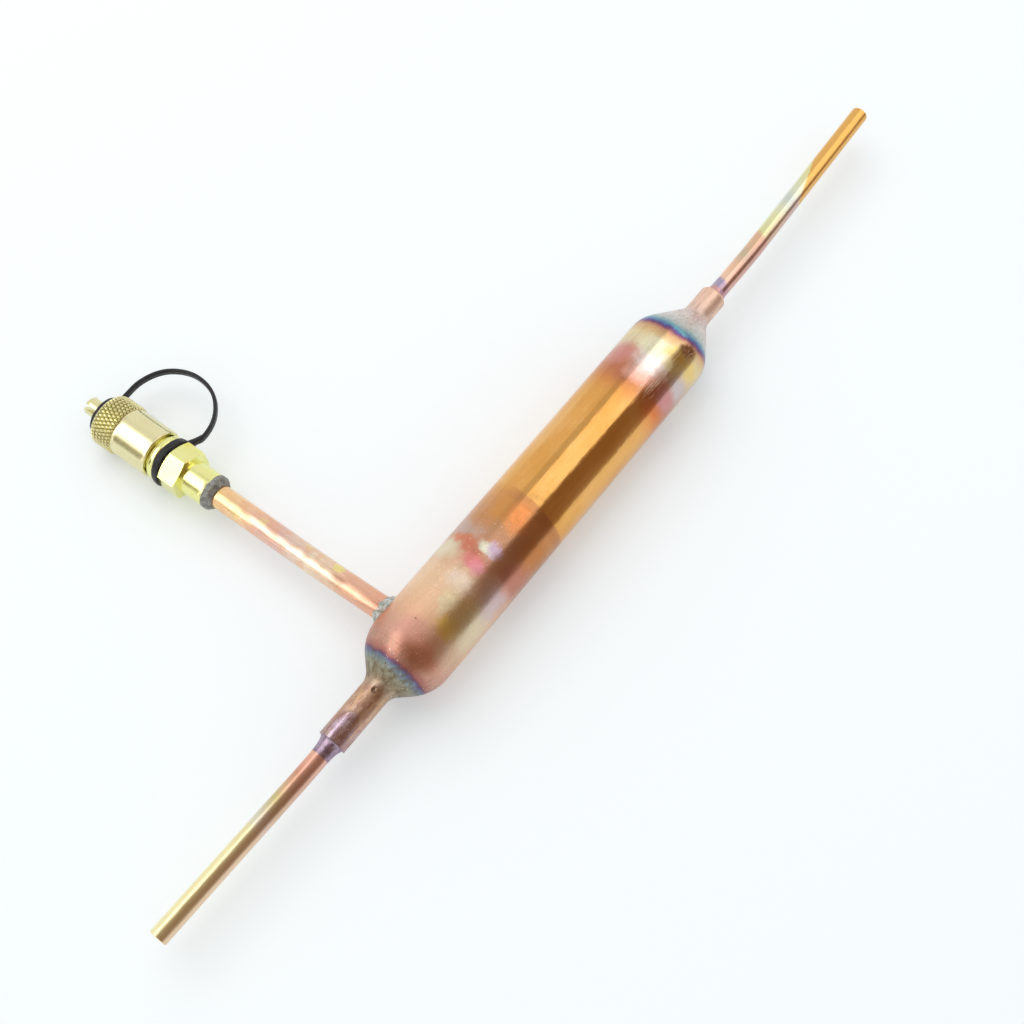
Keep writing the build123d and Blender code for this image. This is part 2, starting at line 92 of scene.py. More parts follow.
class Nodes:
    """Short calls for the nodes of one shader tree."""

    def __init__(self, tree):
        self.tree = tree

    def put(self, socket, value):
        """Links an output to the socket, or sets the socket's own value."""
        if isinstance(value, bpy.types.NodeSocket):
            self.tree.links.new(value, socket)
        elif value is not None:
            is_colour = socket.type == "RGBA"
            socket.default_value = (*value, 1.0) if is_colour and len(value) == 3 else value

    def new(self, kind, **inputs):
        """A node and what goes into it; _ stands for the space in an input's name."""
        n = self.tree.nodes.new("ShaderNode" + kind)
        for name, value in inputs.items():
            self.put(n.inputs[name.replace("_", " ")], value)
        return n

    def vec(self, op, a, b=None, scale=None):
        n = self.new("VectorMath")
        n.operation = op
        self.put(n.inputs[0], a)
        self.put(n.inputs[1], b)
        if scale is not None:
            self.put(n.inputs["Scale"], scale)
        return n.outputs["Value"] if op in ("DISTANCE", "DOT_PRODUCT", "LENGTH") else n.outputs[0]

    def squash(self, v, factors):
        return self.vec("MULTIPLY", v, factors)

    def away(self, v, centre):
        return self.vec("DISTANCE", v, centre)

    def math(self, op, a, b=None, clamp=False):
        n = self.new("Math")
        n.operation = op
        n.use_clamp = clamp
        self.put(n.inputs[0], a)
        self.put(n.inputs[1], b)
        return n.outputs[0]

    def times(self, *values):
        out = values[0]
        for value in values[1:]:
            out = self.math("MULTIPLY", out, value)
        return out

    def plus(self, a, b, clamp=False):
        return self.math("ADD", a, b, clamp)

    def minus(self, a, b):
        return self.math("SUBTRACT", a, b)

    def over(self, a, b):
        return self.math("DIVIDE", a, b)

    def most(self, a, b):
        return self.math("MAXIMUM", a, b)

    def sep(self, v):
        return self.new("SeparateXYZ", Vector=v).outputs

    def join(self, x, y, z):
        return self.new("CombineXYZ", X=x, Y=y, Z=z).outputs[0]

    def noise(self, v, scale, detail=3.0, rough=0.55, colour=False):
        n = self.new("TexNoise", Vector=v, Scale=scale, Detail=detail, Roughness=rough)
        return n.outputs["Color" if colour else "Fac"]

    def cells(self, v, scale, feature="F1"):
        n = self.new("TexVoronoi")
        n.feature = feature
        self.put(n.inputs["Vector"], v)
        self.put(n.inputs["Scale"], scale)
        return n.outputs["Distance"]

    def ramp(self, x, low, high, stops):
        """Straight runs from stop to stop; a stop is a value of x and a linear colour."""
        n = self.new("ValToRGB")
        e = n.color_ramp.elements
        e.remove(e[-1])
        stops = [((at - low) / (high - low), colour) for at, colour in stops]
        e[0].position, e[0].color = stops[0]
        for at, colour in stops[1:]:
            e.new(at).color = colour
        self.put(n.inputs[0], self.over(self.minus(x, low), high - low))
        return n.outputs[0]

    def along(self, x, low, high, stops):
        """Colour that changes with x; a stop is a value of x and a 0-255 colour."""
        return self.ramp(x, low, high, [(at, lin(colour)) for at, colour in stops])

    def curve(self, x, low, high, stops, top):
        """Height that changes with x; a stop is a value of x and a height, none above top."""
        grey = self.ramp(x, low, high, [(at, (y / top,) * 3 + (1,)) for at, y in stops])
        return self.times(self.sep(grey)[0], top)

    def step(self, x, low, high, top=1.0, base=0.0):
        """Smooth change from base to top while x goes from low to high."""
        n = self.new("MapRange")
        n.interpolation_type = "SMOOTHSTEP"
        names = ("Value", "From Min", "From Max", "To Min", "To Max")
        for name, value in zip(names, (x, low, high, base, top)):
            self.put(n.inputs[name], value)
        return n.outputs[0]

    def fall(self, x, low, high, top=1.0):
        """Smooth change from top to 0 while x goes from low to high."""
        return self.step(x, low, high, 0.0, top)

    def band(self, x, low, high, soft):
        """1 between low and high, with soft edges."""
        return self.times(self.step(x, low - soft, low + soft), self.fall(x, high - soft, high + soft))

    def mix(self, fac, a, b, mode="MIX"):
        n = self.new("Mix")
        n.data_type = "RGBA"
        n.blend_type = mode
        for i, value in ((0, fac), (6, a), (7, b)):
            self.put(n.inputs[i], value)
        return n.outputs[2]

    def between(self, fac, a, b):
        """Blend of two 0-255 colours."""
        return self.mix(fac, lin(a), lin(b))

    def wander(self, v, scale, amount, detail=3.0):
        """The point v pushed about by a smooth noise, in millimetres."""
        n = self.vec("SUBTRACT", self.noise(v, scale, detail, colour=True), (0.5, 0.5, 0.5))
        return self.vec("ADD", v, self.vec("SCALE", n, scale=amount))


class Mat(Nodes):
    """A material; p is the shading point in the part's frame, in millimetres."""

    def __init__(self, name, metallic=1.0, ior=1.5):
        self.mat = bpy.data.materials.new(name)
        self.mat.use_nodes = True
        super().__init__(self.mat.node_tree)
        self.tree.nodes.clear()
        self.out = self.new("OutputMaterial")
        self.bsdf = self.new("BsdfPrincipled", Metallic=metallic, IOR=ior)
        self.put(self.out.inputs[0], self.bsdf.outputs[0])
        self.coord = self.new("TexCoord").outputs["Object"]
        self.p = self.vec("SCALE", self.coord, scale=1 / MM)
        self.colour = self.normal = None

    def drawn(self, factors, scale, detail=3.0, rough=0.55):
        """Noise drawn out along the axes whose factors are small."""
        return self.noise(self.squash(self.p, factors), scale, detail, rough)

    def cover(self, fac, rgb):
        """Lays a 0-255 colour over the material's own, as far as fac says."""
        self.colour = self.mix(fac, self.colour, lin(rgb))

    def darken(self, fac, shade):
        """Multiplies the material's colour by a linear shade, as far as fac says."""
        self.colour = self.mix(fac, self.colour, self.mix(1.0, self.colour, shade, "MULTIPLY"))

    def bump(self, height, distance, strength=1.0):
        """Adds relief on top of what is there; distance in millimetres."""
        n = self.new("Bump", Strength=strength, Distance=distance * MM, Height=height)
        self.put(n.inputs["Normal"], self.normal)
        self.normal = n.outputs[0]

    def done(self, rough, metallic=None):
        names = ("Base Color", "Roughness", "Normal", "Metallic")
        for name, value in zip(names, (self.colour, rough, self.normal, metallic)):
            self.put(self.bsdf.inputs[name], value)
        return self.mat


def local(m, matrix):
    """The shading point in another frame, millimetres."""
    inv = matrix.inverted()
    axes = [m.plus(m.vec("DOT_PRODUCT", m.p, tuple(inv[i][:3])), inv[i][3]) for i in range(3)]
    return m.join(*axes), axes


# ------------------------------------------------------------ materials
def shell_copper():
    """Spun copper, polished in the middle and heat tinted towards both brazed ends."""
    m = Mat("spun_copper_heat_tinted")
    x0, y0 = m.sep(m.p)[0:2]
    wx = m.sep(m.wander(m.wander(m.p, 0.30, 2.2, 4.0), 0.07, 5.0))[0]
    fine = m.noise(m.p, 0.35, 4.0)
    ends = m.math("ABSOLUTE", x0)
    # The heat rings lean towards the outlet on the side away from the valve.
    ring_x = m.plus(x0, m.times(m.math("MINIMUM", m.plus(y0, 1.5), 0.0), 0.26))
    ring_x = m.mix(m.step(x0, 0, 20), x0, ring_x)
    end_warp = m.plus(m.times(m.minus(m.noise(m.p, 0.35, 4.0), 0.5), 1.8), ring_x)
    at = m.mix(m.step(ends, 46, 52), wx, end_warp)
    inlet_half = m.along(at, -84.0, 0.0, [
        (-82, (176, 150, 160)), (-76, (206, 176, 172)), (-72, (226, 190, 168)), (-67, (214, 178, 150)),
        (-64, (196, 172, 150)), (-62.2, (158, 142, 116)), (-60.4, (160, 156, 134)),
        (-59.4, (136, 152, 156)), (-58.7, (116, 136, 162)), (-58.3, (104, 94, 138)),
        (-57.9, (128, 76, 104)), (-57.4, (180, 118, 108)), (-55.8, (206, 156, 138)), (-51, (222, 174, 154)),
        (-46, (238, 192, 158)), (-40, (242, 202, 166)), (-33, (238, 202, 170)), (-26, (212, 160, 134)),
        (-18, (204, 154, 118)), (-8, (220, 158, 100)), (-1, (230, 170, 102)),
    ])
    outlet_half = m.along(at, 0.0, 80.0, [
        (4, (230, 170, 102)), (26, (226, 164, 92)), (32, (212, 136, 82)), (37, (204, 134, 100)),
        (41, (210, 156, 136)), (45, (222, 194, 164)), (48.5, (230, 210, 160)), (50.8, (216, 176, 132)),
        (51.7, (186, 134, 118)), (52.3, (128, 80, 116)), (52.9, (98, 92, 150)), (53.6, (98, 140, 176)),
        (54.6, (150, 180, 188)), (56.0, (198, 202, 198)), (59.5, (224, 212, 206)), (63, (222, 202, 198)),
        (67, (240, 208, 190)), (73, (246, 206, 184)), (78, (236, 190, 170)),
    ])
    m.colour = m.mix(m.step(at, -0.5, 0.5), inlet_half, outlet_half)
    # Heat blots: x, turn from the top towards +Y, half length, half width, tint, share
    blots = [
        (-28, 50, 4.2, 6.0, (232, 224, 194), 0.8), (-21, 44, 3.6, 6.0, (200, 176, 166), 0.8),
        (-24.4, 34, 1.7, 4.6, (218, 130, 98), 0.8), (-26.0, 14, 2.0, 4.2, (210, 124, 100), 0.75),
        (-28.2, -5, 2.0, 4.0, (236, 140, 140), 0.85), (-29.2, -13, 2.0, 2.6, (238, 162, 176), 0.75),
        (-23.6, -4, 1.6, 2.6, (238, 238, 214), 1.0), (-22.8, -13, 2.4, 2.4, (216, 192, 216), 0.9),
        (-33.6, -6, 2.6, 4.6, (244, 226, 206), 0.75), (-39.0, -12, 4.4, 3.0, (240, 226, 186), 0.75),
        (-13.0, 14, 5.0, 3.4, (214, 152, 84), 0.8), (-12.5, -8, 5.0, 3.4, (242, 156, 92), 0.9),
        (-17.5, 30, 3.0, 4.0, (206, 146, 96), 0.6), (-43.6, -32, 4.0, 3.2, (236, 200, 96), 0.85),
        (-38.0, -36, 5.0, 3.0, (226, 206, 140), 0.7), (-40.5, -60, 8.0, 6.4, (216, 208, 180), 0.7),
        (-31.5, -58, 6.0, 6.2, (200, 182, 194), 0.65), (-23.5, -62, 5.0, 6.0, (206, 136, 120), 0.7),
        (-16.0, -60, 6.0, 6.0, (210, 140, 82), 0.85), (-53.0, -26, 4.6, 6.5, (212, 136, 100), 0.6),
        (-48.5, -62, 4.0, 5.0, (214, 184, 156), 0.7), (-50.0, 4, 4.0, 5.0, (218, 160, 146), 0.6),
        (-36.5, 40, 4.0, 5.0, (242, 208, 172), 0.6), (24, 45, 5.0, 4.0, (240, 192, 136), 0.4),
        (36.5, 12, 4.0, 5.0, (190, 122, 92), 0.75), (40.5, 40, 4.0, 5.0, (214, 146, 140), 0.75),
        (36.8, -8, 2.6, 4.2, (252, 196, 180), 0.85), (41.5, -9, 4.6, 5.4, (250, 234, 230), 0.95),
        (45.2, -9, 3.6, 6.4, (250, 248, 238), 0.95), (46.0, 6, 3.4, 7.0, (238, 232, 196), 0.8),
        (47.6, -30, 2.4, 4.0, (240, 208, 120), 0.85), (44.8, -34, 2.6, 3.0, (232, 214, 150), 0.8),
        (42.5, -66, 3.4, 5.0, (206, 194, 196), 0.9), (54.0, -6, 1.1, 3.4, (116, 172, 184), 0.85),
        (37.6, -62, 3.2, 5.0, (206, 148, 150), 0.85), (30.5, -60, 5.0, 5.0, (222, 112, 66), 0.85),
        (48.4, -62, 2.2, 5.0, (236, 206, 130), 0.85), (-40, 150, 9, 9, (206, 160, 150), 0.8),
        (-18, -140, 8, 8, (226, 160, 130), 0.8), (20, 165, 9, 9, (212, 140, 100), 0.7),
        (42, -160, 6, 8, (226, 196, 160), 0.8), (-30, -105, 6, 6, (226, 182, 150), 0.8),
    ]
    v = m.wander(m.wander(m.wander(m.p, 1.7, 1.1, 4.0), 0.5, 2.6, 4.0), 0.14, 4.0)
    for bx, turn, half_x, half_w, tint, share in blots:
        a = radians(turn)
        scale = (1 / half_x, 1 / half_w, 1 / half_w)
        centre = (bx / half_x, shell_r * sin(a) / half_w, shell_r * cos(a) / half_w)
        far = m.away(m.squash(v, scale), centre)
        m.cover(m.fall(far, 0.35, 1.25, share), tint)
    # Polished band, with the straight edge that a fixture left and a ragged far end
    jag = m.times(m.minus(m.noise(m.p, 0.8, 3.0), 0.5), 0.8)
    edge = m.plus(m.minus(x0, m.times(y0, 0.08)), jag)
    front = m.mix(m.step(y0, 2.0, 5.5), m.step(edge, -6.75, -6.45), m.step(wx, -12, -4))
    clean = m.times(front, m.fall(wx, 26, 36))
    cloud = m.drawn((0.35, 1.0, 1.0), 0.16, 3.0)
    clean_tint = m.between(m.step(cloud, 0.35, 0.65), (230, 170, 90), (240, 186, 114))
    m.colour = m.mix(m.times(clean, 0.85), m.colour, clean_tint)
    # Stain just past that edge
    stain = m.times(m.band(edge, -9.5, -6.6, 0.9), m.minus(1.0, clean))
    m.darken(m.times(stain, 0.5), (0.80, 0.74, 0.80))
    shade = m.times(m.fall(y0, -9.0, -3.5), m.band(edge, -26.0, -6.6, 0.8))
    m.darken(m.times(shade, 0.45), (0.70, 0.62, 0.60))
    # Painted shade: dark lines for the fine crease that the spinning left where the barrel meets the inlet
    # shoulder
    fine_x = m.plus(x0, m.times(m.noise(m.p, 1.2, 2.0), 0.5))
    for line, share in ((-54.3, 0.45), (-53.5, 0.25), (-55.2, 0.2)):
        crease_shade = m.times(m.band(fine_x, line, line + 0.12, 0.08), m.band(y0, -3.0, 7.0, 2.0))
        m.cover(m.times(crease_shade, share), (150, 96, 80))
    # Crackled burn near the outlet shoulder
    burn = m.away(m.wander(m.p, 0.9, 2.0), (51.2, -6.4, 9.0))
    crackle = m.step(m.cells(m.wander(m.p, 3.0, 0.5), 2.6, "DISTANCE_TO_EDGE"), 0.03, 0.16)
    inside = m.fall(burn, 1.3, 2.4)
    m.cover(m.times(inside, 0.4), (206, 140, 92))
    lines = m.times(inside, crackle, m.step(m.noise(m.p, 2.2, 2.0), 0.44, 0.56))
    m.cover(lines, (104, 56, 36))
    flecks = m.step(m.noise(m.p, 3.4, 2.0), 0.60, 0.66)
    m.cover(m.times(inside, flecks, 0.8), (250, 240, 226))
    # Silvery rub marks beside the pale patch; their pale, less metallic colour is partly wear and partly a
    # painted glint
    rub = m.drawn((0.16, 2.4, 2.4), 1.0, 4.0, 0.7)
    rub_marks_and_glint = m.times(m.band(x0, 33, 49, 2.5), m.band(y0, -7.0, -3.4, 1.0))
    rub_marks_and_glint = m.times(m.step(rub, 0.52, 0.62), rub_marks_and_glint)
    m.cover(m.times(rub_marks_and_glint, 0.75), (240, 220, 196))
    metallic = m.minus(1.0, m.times(m.most(rub_marks_and_glint, m.times(inside, flecks)), 0.6))
    # Brazing film on top of the inlet neck, with a rounded front edge and a dark outline
    oval = m.squash(m.wander(m.p, 0.8, 0.8), (0.50, 1.0, 1.0))
    film = m.away(oval, (-77.6 * 0.50, -0.5, 3.5))
    film_tint = m.between(m.step(m.noise(m.p, 0.9, 3.0), 0.35, 0.65), (224, 206, 222), (202, 180, 202))
    m.cover(m.times(m.band(film, 2.6, 3.0, 0.22), 0.55), (140, 106, 104))
    m.colour = m.mix(m.times(m.fall(film, 2.35, 2.85), 0.9), m.colour, film_tint)
    # Streaks round the shoulders, left by the spinning tool, and draw lines along the barrel
    rim_noise = m.drawn((0.12, 1.0, 1.0), 1.3, 4.0, 0.65)
    on_cone = m.step(ends, 53, 56)
    m.cover(m.times(on_cone, m.step(rim_noise, 0.42, 0.62, 0.30)), (132, 124, 112))
    inlet_cone = m.band(x0, -64.0, -58.5, 1.0)
    patch = m.drawn((0.5, 1.0, 1.0), 0.9, 4.0, 0.6)
    m.cover(m.times(inlet_cone, m.step(patch, 0.46, 0.60, 0.7)), (122, 108, 84))
    m.cover(m.times(inlet_cone, m.fall(patch, 0.30, 0.42, 0.6)), (178, 190, 176))
    neck = m.band(x0, -80.0, -64.5, 1.5)
    m.cover(m.times(neck, m.step(patch, 0.44, 0.58, 0.55)), (172, 124, 112))
    m.cover(m.times(neck, m.step(rim_noise, 0.52, 0.66, 0.6)), (236, 196, 150))
    streak = m.drawn((0.05, 1.0, 1.0), 1.7, 4.0, 0.6)
    m.darken(m.step(streak, 0.35, 0.75, 0.25), (0.84, 0.76, 0.70))
    specks = m.step(m.noise(m.p, 2.6, 2.0), 0.68, 0.75)
    grain = m.noise(m.p, 2.4, 5.0, 0.75)
    m.darken(m.fall(grain, 0.40, 0.62, 0.16), (0.62, 0.52, 0.46))
    near_ends = m.plus(m.band(x0, -60, -44, 4.0), m.band(x0, 42, 55, 4.0))
    m.cover(m.times(specks, near_ends, 0.65), (96, 66, 52))
    # Pale freckles of dried flux along the lower half
    freckle = m.step(m.noise(m.p, 2.3, 2.0), 0.67, 0.71)
    freckle = m.times(freckle, m.step(m.noise(m.p, 0.22, 2.0), 0.46, 0.54))
    m.cover(m.times(freckle, m.fall(x0, -22, -10), 0.85), (250, 240, 228))
    # Pit beside the process tube, painted shade in the dimple on the inlet shoulder, scuff on the pale
    # patch
    oval = m.squash(m.wander(m.p, 1.5, 0.5), (1.0, 0.45, 1.0))
    pit = m.away(oval, (-47.2, 1.35 * 0.45, 11.0))
    m.cover(m.fall(pit, 0.05, 0.36, 0.6), (110, 70, 56))
    dimple_shade = m.away(m.p, (-65.15, -0.39, 3.73))
    m.cover(m.fall(dimple_shade, 0.35, 0.75, 0.9), (44, 34, 30))
    oval = m.squash(v, (1 / 7.0, 1 / 2.2, 1 / 2.2))
    scuff = m.fall(m.away(oval, (40.5 / 7.0, -5.4 / 2.2, 9.7 / 2.2)), 0.5, 1.1)
    # Polish: brightest in the middle and on the film, dullest on the shoulders and at the scuff
    dull = m.most(m.fall(wx, -30, -6), m.step(ends, 50, 56))
    rough = m.plus(0.10, m.times(dull, 0.10))
    rough = m.plus(rough, m.times(m.fall(wx, -50, -40), 0.14))
    rough = m.plus(rough, m.step(x0, 62, 66, 0.18))
    rough = m.plus(rough, m.times(m.minus(1.0, clean), 0.06))
    rough = m.minus(rough, m.times(m.fall(film, 2.4, 2.9), 0.16))
    rough = m.plus(rough, m.times(scuff, 0.20))
    rough = m.plus(rough, m.times(m.minus(fine, 0.5), 0.10))
    rough = m.plus(rough, m.times(m.minus(streak, 0.5), 0.10), clamp=True)
    # Relief: turning rings on the shoulders, draw lines and waves along the barrel, the film's edge
    rings = m.noise(m.join(m.times(x0, 2.6), 0.0, 0.0), 1.0, 3.0)
    m.bump(m.times(rings, m.step(ends, 50, 54)), 0.05, 0.5)
    m.bump(m.times(rim_noise, on_cone), 0.10, 0.5)
    m.bump(streak, 0.020, 0.5)
    m.bump(m.drawn((0.08, 1.0, 1.0), 4.0, 2.0), 0.02, 0.5)
    m.bump(m.noise(m.p, 0.16, 2.0), 0.22, 0.4)
    m.bump(m.times(m.noise(m.p, 3.2, 3.0), dull), 0.018, 0.5)
    m.bump(m.fall(film, 2.6, 3.2), 0.10, 0.6)
    return m.done(rough, metallic)


def stub_copper(name, low, high, stops, bright=0.16, dull=0.30):
    """Drawn tube whose tint changes along its length; low and high are x in millimetres."""
    m = Mat(name)
    y0 = m.sep(m.p)[1]
    w = m.sep(m.wander(m.wander(m.p, 0.9, 0.8), 0.2, 3.0))[0]
    w = m.minus(w, m.times(y0, 0.35))
    m.colour = m.along(w, low, high, stops)
    side = m.drawn((0.05, 0.3, 0.3), 1.0, 2.0)
    m.cover(m.step(side, 0.46, 0.62, 0.25), (206, 200, 166))
    streak = m.drawn((0.06, 1.0, 1.0), 3.0, 4.0, 0.6)
    m.darken(m.step(streak, 0.35, 0.8, 0.30), (0.72, 0.66, 0.62))
    rough = m.plus(bright, m.times(streak, dull - bright))
    m.bump(streak, 0.02, 0.6)
    m.bump(m.noise(m.p, 0.3, 2.0), 0.12, 0.35)
    return m, rough


def outlet_copper():
    """Outlet tube with a pale band and a gold tip behind a slanting, ragged edge."""
    m, rough = stub_copper("drawn_copper_outlet", 70.0, 150.0, [
        (70, (206, 160, 140)), (74.2, (180, 166, 190)), (77.6, (172, 160, 190)), (78.4, (244, 206, 180)),
        (84, (240, 196, 166)), (88, (206, 188, 160)), (91, (222, 186, 156)), (95.6, (228, 184, 152)),
        (96.6, (228, 226, 170)), (104, (230, 228, 186)), (110, (208, 216, 208)), (115, (226, 230, 200)),
        (119, (232, 228, 176)), (125, (230, 220, 150)), (150, (226, 190, 120)),
    ])
    x0, y0 = m.sep(m.p)[0:2]
    ragged = m.times(m.minus(m.noise(m.p, 0.9, 3.0), 0.5), 3.0)
    tip_edge = m.plus(m.minus(x0, m.times(m.minus(y0, 0.93), 3.0)), ragged)
    tip = m.times(m.step(tip_edge, 118.4, 119.4), 0.9)
    m.colour = m.mix(tip, m.colour, m.between(m.noise(m.p, 0.8), (236, 182, 98), (224, 164, 88)))
    # Painted shade: mauve on the side away from the valve, where the tube mirrors the shaded floor
    shade = m.times(m.fall(y0, -1.8, 0.6, 0.75), m.minus(1.0, tip))
    m.cover(shade, (204, 156, 152))
    return m.done(rough)


def inlet_copper():
    """Inlet tube, pink at the braze and pale gold towards its open end."""
    m, rough = stub_copper("drawn_copper_inlet", -140.0, -75.0, [
        (-140, (250, 240, 190)), (-126, (250, 238, 186)), (-114, (248, 236, 184)),
        (-107.5, (242, 228, 178)), (-105.5, (226, 220, 200)), (-102, (220, 206, 178)),
        (-99, (206, 194, 138)), (-96, (220, 186, 148)), (-91, (214, 158, 134)), (-86, (240, 180, 158)),
        (-82, (214, 160, 140)), (-75, (190, 150, 138)),
    ], 0.24, 0.40)
    y0 = m.sep(m.p)[1]
    # Painted shade: pinker on the side away from the valve, where the tube mirrors the shaded floor
    m.cover(m.fall(y0, -1.4, 1.2, 0.6), (226, 182, 166))
    return m.done(rough)


def branch_copper():
    """Process tube, gold near the valve and pink towards the barrel."""
    m = Mat("process_tube_copper")
    v, (_, _, s) = local(m, tube_frame)
    w = m.plus(s, m.times(m.minus(m.noise(m.p, 0.14, 3.0), 0.5), 10.0))
    m.colour = m.along(w, 8.0, 70.0, [
        (8, (212, 150, 132)), (14, (232, 178, 152)), (22, (232, 184, 158)), (27, (236, 204, 176)),
        (33, (240, 220, 194)), (38, (232, 206, 188)), (44, (228, 190, 178)), (50, (236, 190, 170)),
        (56, (246, 206, 164)), (62, (248, 208, 154)), (70, (248, 204, 136)),
    ])
    # Yellow spots: place in the tube's frame, radius, share
    ragged = m.wander(m.wander(v, 0.5, 1.6), 1.8, 1.4)
    spots = [
        ((1.8, -2.5, 26.5), 1.9, 0.8), ((-1.4, -2.8, 57.0), 2.2, 0.3), ((0.8, -3.0, 49.5), 1.6, 0.4),
        ((2.2, -2.2, 36.0), 1.5, 0.4),
    ]
    for centre, size, share in spots:
        spot = m.away(ragged, centre)
        m.cover(m.fall(spot, 0.5 * size, size, share), (240, 226, 140))
    streak = m.noise(m.squash(v, (1.0, 1.0, 0.06)), 2.4, 4.0, 0.6)
    m.darken(m.step(streak, 0.35, 0.8, 0.25), (0.78, 0.72, 0.70))
    rough = m.plus(0.20, m.times(streak, 0.14))
    m.bump(streak, 0.02, 0.6)
    m.bump(m.noise(m.p, 0.10, 1.0), 0.9, 0.8)
    cloud = m.noise(m.p, 0.35, 4.0)
    m.cover(m.step(cloud, 0.45, 0.65, 0.5), (232, 176, 140))
    return m.done(rough)


def braze_metal(name, a, b, rough=0.30):
    """Patchy two-tone alloy with dark grit."""
    m = Mat(name)
    patchy = m.noise(m.p, 0.9, 4.0)
    m.colour = m.between(m.step(patchy, 0.35, 0.65), a, b)
    grit = m.noise(m.p, 4.0, 3.0)
    m.cover(m.step(grit, 0.60, 0.72, 0.6), (96, 84, 88))
    r = m.plus(rough - 0.08, m.times(grit, 0.2))
    m.bump(patchy, 0.35, 0.6)
    m.bump(grit, 0.06, 0.6)
    return m.done(r)


def solder_metal():
    """Dull grey solder with dark pits and pale specks."""
    m = Mat("dull_solder", metallic=0.7)
    patchy = m.noise(m.p, 0.8, 4.0)
    m.colour = m.between(m.step(patchy, 0.3, 0.7), (112, 112, 106), (168, 166, 160))
    pits = m.cells(m.wander(m.p, 1.4, 0.6), 2.0)
    m.cover(m.fall(pits, 0.10, 0.36, 0.75), (70, 66, 62))
    specks = m.step(m.noise(m.p, 3.6, 2.0), 0.58, 0.68)
    m.cover(m.times(specks, 0.5), (206, 204, 198))
    m.bump(patchy, 0.25, 0.6)
    m.bump(pits, 0.16, 0.8)
    return m.done(m.plus(0.38, m.times(patchy, 0.2)))


def turned_brass(name, a, b, rough, hot=(), knurled=False):
    """Machined brass with faint tool lines round the valve's axis."""
    m = Mat(name)
    v, (lx, ly, s) = local(m, valve_frame)
    cloud = m.noise(m.p, 0.25, 3.0)
    m.colour = m.between(cloud, a, b)
    lines = m.noise(m.join(m.times(s, 5.0), 0.0, 0.0), 1.0, 3.0, 0.7)
    m.darken(m.step(lines, 0.45, 0.85, 0.3), (0.78, 0.74, 0.62))
    # Hot spots: place in the valve's frame, radius, tint
    for spot, size, tint in hot:
        far = m.away(m.wander(v, 0.6, 1.2), spot)
        m.cover(m.fall(far, size * 0.3, size, 0.85), tint)
    dirt = m.noise(m.p, 1.8, 4.0)
    m.darken(m.step(dirt, 0.62, 0.74, 0.45), (0.6, 0.55, 0.42))
    if knurled:
        # The same crossed grooves as the mesh has, painted darker as painted shade; the whole knurled band
        # is painted darker too, also painted shade
        turn = m.times(m.math("ARCTAN2", ly, lx), knurl_count / tau)
        rise = m.over(m.minus(s, grip_start), knurl_rise)
        near = [m.math("PINGPONG", m.math(op, turn, rise), 0.5) for op in ("ADD", "SUBTRACT")]
        groove_shade = m.fall(m.math("MINIMUM", *near), 0.04, 0.20)
        groove_shade = m.times(groove_shade, m.band(s, grip_start + 0.3, cap_end - 0.3, 0.2))
        m.cover(m.times(groove_shade, 0.75), (122, 112, 62))
        m.cover(m.times(m.band(s, grip_start, cap_end, 0.2), 0.4), (206, 200, 136))
    r = m.plus(rough - 0.05, m.times(dirt, 0.12))
    m.bump(lines, 0.012, 0.6)
    m.bump(m.noise(m.p, 0.5, 2.0), 0.03, 0.4)
    return m.done(r)


def moulded_nylon():
    """Black nylon with faint pale scuffs, partly wear and partly a painted sheen."""
    m = Mat("moulded_black_nylon", metallic=0.0, ior=1.42)
    cloud = m.noise(m.p, 0.5, 3.0)
    m.colour = m.between(cloud, (26, 24, 27), (40, 36, 40))
    grain = m.noise(m.p, 6.0, 3.0)
    # Pale grey-violet scuffs: partly wear, partly a painted sheen
    scuff = m.step(m.drawn((1.0, 0.3, 1.0), 1.6, 4.0), 0.60, 0.75)
    m.cover(m.times(scuff, 0.5), (120, 114, 122))
    rough = m.plus(0.28, m.times(cloud, 0.2))
    m.bump(grain, 0.03, 0.6)
    m.bump(m.noise(m.p, 1.3, 3.0), 0.25, 0.6)
    return m.done(rough)


def plain(name, a, b, rough, metallic):
    """Two-tone fine material for what sits inside."""
    m = Mat(name, metallic=metallic)
    n = m.noise(m.p, 0.8, 4.0)
    g = m.noise(m.p, 5.6, 3.0)
    m.colour = m.between(m.step(n, 0.3, 0.7), a, b)
    m.darken(m.step(g, 0.6, 0.75, 0.4), (0.7, 0.7, 0.7))
    m.bump(g, 0.03, 0.6)
    return m.done(m.plus(rough, m.times(n, 0.1)))


def desiccant_beads():
    """Cream beads with painted shade in the gaps between them."""
    m = Mat("molecular_sieve_beads", metallic=0.0)
    d = m.cells(m.p, 0.7)
    shade = m.noise(m.p, 1.5, 3.0)
    m.colour = m.between(shade, (216, 204, 178), (236, 228, 208))
    # Painted shade in the gaps between the beads
    m.cover(m.step(d, 0.35, 0.75, 0.7), (120, 104, 84))
    m.bump(d, -0.6, 0.8)
    return m.done(0.8)


def woven_steel():
    """Fine wires that cross in the plane of the screens."""
    m = Mat("woven_steel_mesh", metallic=0.9)
    y, z = m.sep(m.p)[1:3]
    weave = m.most(*[m.math("SINE", m.times(across, 14.0)) for across in (y, z)])
    # The openings between the wires are painted dark: painted shade
    m.colour = m.between(m.step(weave, 0.0, 0.8), (52, 50, 48), (176, 174, 170))
    m.bump(weave, 0.08, 0.8)
    return m.done(m.step(weave, 0.0, 1.0, 0.3, 0.6))


def give(material, *names):
    """Puts a material in every slot of the CAD nodes."""
    for name in names:
        slots = nodes[name].data.materials
        if not slots:
            slots.append(material)
        for i in range(len(slots)):
            slots[i] = material


